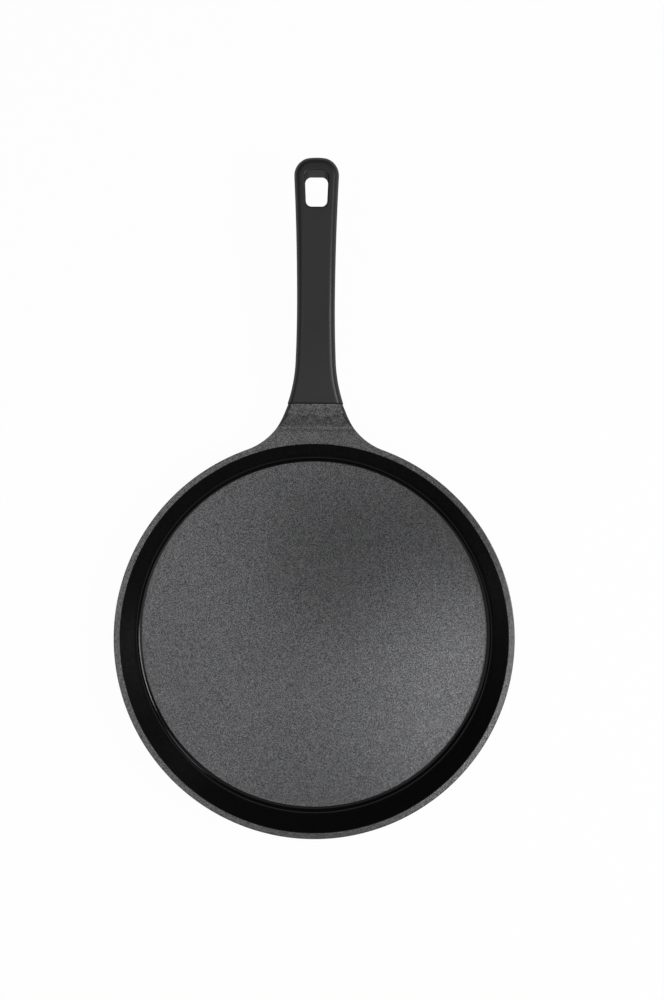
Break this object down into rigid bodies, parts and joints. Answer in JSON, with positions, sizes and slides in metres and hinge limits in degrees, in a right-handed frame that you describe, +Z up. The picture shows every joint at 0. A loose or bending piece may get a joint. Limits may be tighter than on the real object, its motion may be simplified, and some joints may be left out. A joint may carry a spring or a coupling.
{
  "type": "crepe pan",
  "caption": "Shallow round crepe pan cast in one piece with its neck, with a dark non-stick coating and a long moulded grip that has a hanging hole.",
  "frame": {"origin": "centre of the pan's flat base, on the surface that it rests on", "axes": "+Z is up out of the pan, +Y runs along the handle away from the pan, +X is to the right when the handle points away"},
  "size_m": [0.2684, 0.4462, 0.0533],
  "materials": {
    "coated_aluminium": "dark granular non-stick coating",
    "moulded_grip": "matte black phenolic",
    "insert_brass": "turned",
    "fastener_steel": "zinc plated"
  },
  "bodies": {
    "root": {"pan_body": "coated_aluminium", "handle": "moulded_grip", "threaded_insert": "insert_brass", "flat_washer": "fastener_steel", "spring_washer": "fastener_steel", "handle_screw": "fastener_steel"}
  },
  "joints": []
}
